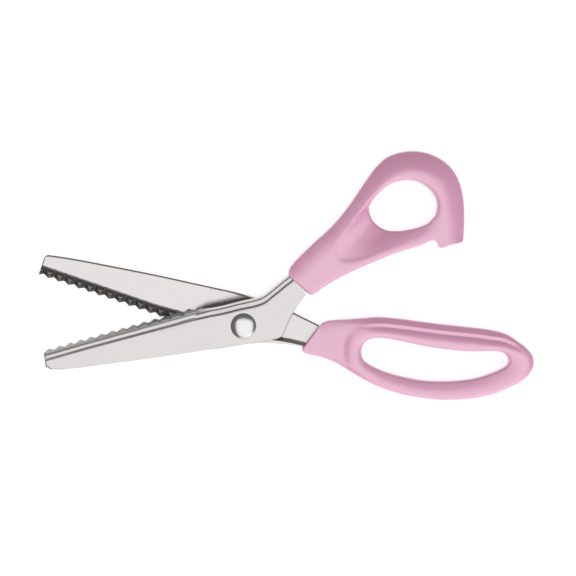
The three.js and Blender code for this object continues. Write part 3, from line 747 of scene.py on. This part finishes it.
def lock_nut():
    """A thin hexagonal nut, the corners of its underside turned off."""
    flats, low, high = NUT["flats"], NUT["low"], NUT["high"]
    inset, height = NUT_CORNERS
    corner = flats / math.sqrt(3)
    hexagon = [(corner * math.cos(math.radians(60 * i)), corner * math.sin(math.radians(60 * i)))
               for i in range(6)]
    nut = mesh_object("lock_nut_fine", [(x, y, z) for z in (low, high) for x, y in hexagon],
                      tube_faces(2, 6, False) + [tuple(range(6)), tuple(range(6, 12))])
    crown = turned("crown", [(0, low), (flats / 2 - inset, low), (corner + inset, low + height),
                             (corner + inset, high), (0, high)])
    combine(nut, crown, "INTERSECT")
    combine(nut, disc("hole", NUT["hole"], -CUT_MARGIN, THICKNESS + CUT_MARGIN), "DIFFERENCE")
    tidy_mesh(nut, NUT["sharp_angle"])
    return nut


# ---- Materials ------------------------------------------------------------

# Noise scales are per metre, and bump distances are in metres.
NOISE_RANGE = (0.3, 0.7)       # where most of a noise's values lie
FINE_BRUSHING = (25, 2600, 2600)
BROAD_BRUSHING = (9, 110, 110)
BRUSHED = {"dark": 0.93, "spread": 0.03, "bump": 0.018, "distance": 0.00003}
GROUND = {"scale": 1500.0, "dark": 0.8, "spread": 0.06, "bump": 0.1, "distance": 0.00003}
PINK = ((0.66, 0.296, 0.452), (0.68, 0.31, 0.47))
PINK_SHADER = {"Specular IOR Level": 0.8, "Coat Weight": 1.0, "Coat IOR": 1.75, "Coat Roughness": 0.3,
               "Subsurface Weight": 0.1, "Subsurface Scale": 0.003, "Subsurface Radius": (1.0, 0.4, 0.6)}
PINK_CLOUD_SCALE = 45.0
PINK_GRAIN = {"scale": 2200.0, "roughness": (0.34, 0.42), "bump": 0.06, "distance": 0.00002}
PAPER = ((0.49, 0.49, 0.49), (0.51, 0.51, 0.51))
PAPER_SHADER = {"Roughness": 0.9, "Specular IOR Level": 0.1, "Emission Color": (1, 1, 1, 1),
                "Emission Strength": 0.72}
PAPER_CLOUD_SCALE = 3.0


class Nodes:
    """A small helper that adds and links a material's nodes."""

    def __init__(self, name):
        self.material = bpy.data.materials.new(name)
        self.material.use_nodes = True
        self.tree = self.material.node_tree
        self.shader = self.tree.nodes["Principled BSDF"]
        self.place = self.add("ShaderNodeTexCoord").outputs["Object"]

    def add(self, kind, **settings):
        """A new node, each setting put on its input of that name or else on the node itself."""
        node = self.tree.nodes.new(kind)
        for key, value in settings.items():
            if key in node.inputs:
                node.inputs[key].default_value = value
            else:
                setattr(node, key, value)
        return node

    def shade(self, constants):
        """Sets constants straight on the shader's inputs."""
        for key, value in constants.items():
            self.shader.inputs[key].default_value = value

    def link(self, source, target):
        """Feeds one socket from another."""
        self.tree.links.new(source, target)

    def noise(self, scale, detail):
        """Even noise in the object's own space."""
        noise = self.add("ShaderNodeTexNoise", Scale=scale, Detail=detail)
        self.link(self.place, noise.inputs["Vector"])
        return noise.outputs["Fac"]

    def stretched_noise(self, angle, scale, detail):
        """Noise drawn out along a direction in plan."""
        turn = self.add("ShaderNodeMapping")
        turn.inputs["Rotation"].default_value = (0, 0, -math.radians(angle))
        spread = self.add("ShaderNodeMapping")
        spread.inputs["Scale"].default_value = scale
        noise = self.add("ShaderNodeTexNoise", Scale=1.0, Detail=detail)
        self.link(self.place, turn.inputs["Vector"])
        self.link(turn.outputs["Vector"], spread.inputs["Vector"])
        self.link(spread.outputs["Vector"], noise.inputs["Vector"])
        return noise.outputs["Fac"]

    def ramp(self, source, low, high, target):
        """Feeds a socket with a noise that is mapped to a range."""
        mapped = self.add("ShaderNodeMapRange")
        mapped.inputs["From Min"].default_value = NOISE_RANGE[0]
        mapped.inputs["From Max"].default_value = NOISE_RANGE[1]
        mapped.inputs["To Min"].default_value = low
        mapped.inputs["To Max"].default_value = high
        self.link(source, mapped.inputs["Value"])
        self.link(mapped.outputs["Result"], target)

    def tint(self, source, dark, light):
        """Colours the shader between two colours."""
        mix = self.add("ShaderNodeMix", data_type="RGBA")
        colours = [socket for socket in mix.inputs if socket.type == "RGBA"]
        colours[0].default_value = (*dark, 1)
        colours[1].default_value = (*light, 1)
        self.link(source, mix.inputs["Factor"])
        mixed = next(socket for socket in mix.outputs if socket.type == "RGBA")
        self.link(mixed, self.shader.inputs["Base Color"])

    def bump(self, source, strength, distance):
        """Roughens the shader's surface."""
        bump = self.add("ShaderNodeBump", Strength=strength, Distance=distance)
        self.link(source, bump.inputs["Height"])
        self.link(bump.outputs["Normal"], self.shader.inputs["Normal"])

    def metal_finish(self, cloud, grain, colour, rough, look):
        """Varies a metal's colour by one noise, and its roughness and surface by another."""
        self.tint(cloud, [c * look["dark"] for c in colour], colour)
        self.ramp(grain, rough - look["spread"], rough + look["spread"], self.shader.inputs["Roughness"])
        self.bump(grain, look["bump"], look["distance"])


def brushed_steel(name, angle, colour, rough):
    """Steel with fine brush marks along an angle in plan."""
    nodes = Nodes(name)
    nodes.shade({"Metallic": 1.0})
    fine = nodes.stretched_noise(angle, FINE_BRUSHING, 4)
    broad = nodes.stretched_noise(angle, BROAD_BRUSHING, 2)
    nodes.metal_finish(broad, fine, colour, rough, BRUSHED)
    return nodes.material


def ground_steel(name, colour, rough):
    """Steel left dull by a grinding wheel, in the colour given; the grooves' colour is dark with painted
    shade.
    """
    nodes = Nodes(name)
    nodes.shade({"Metallic": 1.0})
    grain = nodes.noise(GROUND["scale"], 3.0)
    nodes.metal_finish(grain, grain, colour, rough, GROUND)
    return nodes.material


def pink_plastic(name):
    """Satin moulded plastic."""
    nodes = Nodes(name)
    nodes.shade(PINK_SHADER)
    nodes.tint(nodes.noise(PINK_CLOUD_SCALE, 2.0), *PINK)
    grain = nodes.noise(PINK_GRAIN["scale"], 2.0)
    nodes.ramp(grain, *PINK_GRAIN["roughness"], nodes.shader.inputs["Roughness"])
    nodes.bump(grain, PINK_GRAIN["bump"], PINK_GRAIN["distance"])
    return nodes.material


def paper(name):
    """The pale floor, which glows a little so that it stays white."""
    nodes = Nodes(name)
    nodes.shade(PAPER_SHADER)
    nodes.tint(nodes.noise(PAPER_CLOUD_SCALE, 2.0), *PAPER)
    return nodes.material


# ---- Camera, floor and light ----------------------------------------------

VIEW_WIDTH = 270.7             # of the whole picture, at the handles' height
VIEW_CENTRE = (20.9, 17.8)
CAMERA_HEIGHT = 1200
SENSOR = 36

# From here on in metres: the lights' place, aim, size and brightness.
CLIP_END = 20
FLOOR_HALF_WIDTH = 3.0
WORLD_COLOUR = (0.5, 0.5, 0.5, 1)
WORLD_STRENGTH = 0.5
PANELS = {"overhead": [(0.3, -0.6, 2.0), (0.3, -0.6, 0), (2.4, 2.8), 1.75],
          "near_side": [(1.0, -2.4, 1.3), (0, 0, 0), (4.0, 1.8), 1.9]}


def add_camera():
    """The camera straight above, as the photograph was taken."""
    data = bpy.data.cameras.new("camera")
    data.sensor_width = SENSOR
    data.lens = SENSOR * (CAMERA_HEIGHT - SHEAR_Z) / VIEW_WIDTH
    data.clip_end = CLIP_END
    camera = bpy.data.objects.new("camera", data)
    camera.location = (VIEW_CENTRE[0] * MM, VIEW_CENTRE[1] * MM, CAMERA_HEIGHT * MM)
    bpy.context.scene.collection.objects.link(camera)
    bpy.context.scene.camera = camera


def add_panel(name, place, aim, size, radiance):
    """A soft rectangular light, in metres, as bright as this share of white."""
    data = bpy.data.lights.new(name, "AREA")
    data.shape = "RECTANGLE"
    data.size, data.size_y = size
    data.energy = radiance * math.pi * size[0] * size[1]
    panel = bpy.data.objects.new(name, data)
    panel.location = place
    panel.rotation_euler = (Vector(aim) - Vector(place)).to_track_quat("-Z", "Y").to_euler()
    bpy.context.scene.collection.objects.link(panel)


def add_surroundings():
    """The grey world, the light panels and the floor."""
    world = bpy.data.worlds.new("world")
    world.use_nodes = True
    background = world.node_tree.nodes["Background"]
    background.inputs["Color"].default_value = WORLD_COLOUR
    background.inputs["Strength"].default_value = WORLD_STRENGTH
    bpy.context.scene.world = world
    for name, settings in PANELS.items():
        add_panel(name, *settings)
    half = FLOOR_HALF_WIDTH / MM
    corners = [(x * half, y * half, 0) for x, y in ((-1, -1), (1, -1), (1, 1), (-1, 1))]
    floor = mesh_object("floor", corners, [(0, 1, 2, 3)])
    floor.data.materials.append(paper("floor_paper"))


# ---- The shears -----------------------------------------------------------

# Directions of the brush marks in plan, colours and roughnesses.
FRONT_STEEL = (190, (0.42, 0.4, 0.399), 0.28)
REAR_STEEL = (168, (0.43, 0.411, 0.406), 0.26)
BOLT_STEEL = (0, (0.47, 0.465, 0.455), 0.22)
PLAIN_STEEL = (40, (0.5, 0.49, 0.48), 0.4)
BEVEL_STEEL = ((0.43, 0.425, 0.42), 0.35)
# The dull steel's very dark colour is painted shade over a real ground finish: it stands in for the dark
# reflections in the grooves and the shadow on the ride's ramp.
DULL_SHADED_STEEL = ((0.14, 0.136, 0.132), 0.48)


def finished(piece, body, node, slot, *materials):
    """Puts a piece on its body, in place of its CAD node, with its finish."""
    for material in materials:
        piece.data.materials.append(material)
    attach(piece, body)
    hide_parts(node)


def washer(name, size):
    """A flat washer from its radius, underside and top."""
    radius, low, high = size
    return ring(name, WASHER_BORE, radius, low, high)


def build_shears():
    """Makes every piece and puts it on its body."""
    pink = pink_plastic("pink_plastic")
    front_steel = brushed_steel("front_steel", *FRONT_STEEL)
    rear_steel = brushed_steel("rear_steel", *REAR_STEEL)
    bevel = ground_steel("bevel_steel", *BEVEL_STEEL)
    dull_shaded_steel = ground_steel("dull_steel_painted_shade", *DULL_SHADED_STEEL)
    bolt_steel = brushed_steel("bolt_steel", *BOLT_STEEL)
    plain_steel = brushed_steel("plain_steel", *PLAIN_STEEL)

    front_blade = blade("front_blade_fine", FRONT, FRONT_OUTLINE, FRONT_HEEL, FRONT_SHOULDER)
    rear_blade = blade("rear_blade_fine", REAR, REAR_OUTLINE, REAR_HEEL, REAR_SHOULDER)
    thumb = handle("thumb_handle_fine", THUMB_OUTLINE, THUMB_CREST, THUMB_HOLE, THUMB_SHAPE)
    finger = handle("finger_handle_fine", FINGER_OUTLINE, FINGER_CREST, FINGER_HOLE, FINGER_SHAPE)
    finished(front_blade, "front_half", "front_blade", "blade_steel", front_steel, bevel, dull_shaded_steel)
    finished(rear_blade, "rear_half", "rear_blade", "blade_steel", rear_steel, bevel, dull_shaded_steel)
    finished(thumb, "front_half", "thumb_handle", "handle_plastic", pink)
    finished(finger, "rear_half", "finger_handle", "handle_plastic", pink)
    finished(pivot_bolt(), "front_half", "pivot_bolt", "bolt_steel", bolt_steel)
    finished(washer("blade_washer_fine", BLADE_WASHER), "rear_half", "blade_washer", "washer_steel",
             plain_steel)
    finished(washer("flat_washer_fine", FLAT_WASHER), "rear_half", "flat_washer", "washer_steel",
             plain_steel)
    finished(wave_washer(), "front_half", "wave_washer", "washer_steel", plain_steel)
    finished(lock_nut(), "front_half", "lock_nut", "washer_steel", plain_steel)


add_camera()
add_surroundings()
build_shears()
bpy.context.scene.view_settings.view_transform = "Standard"
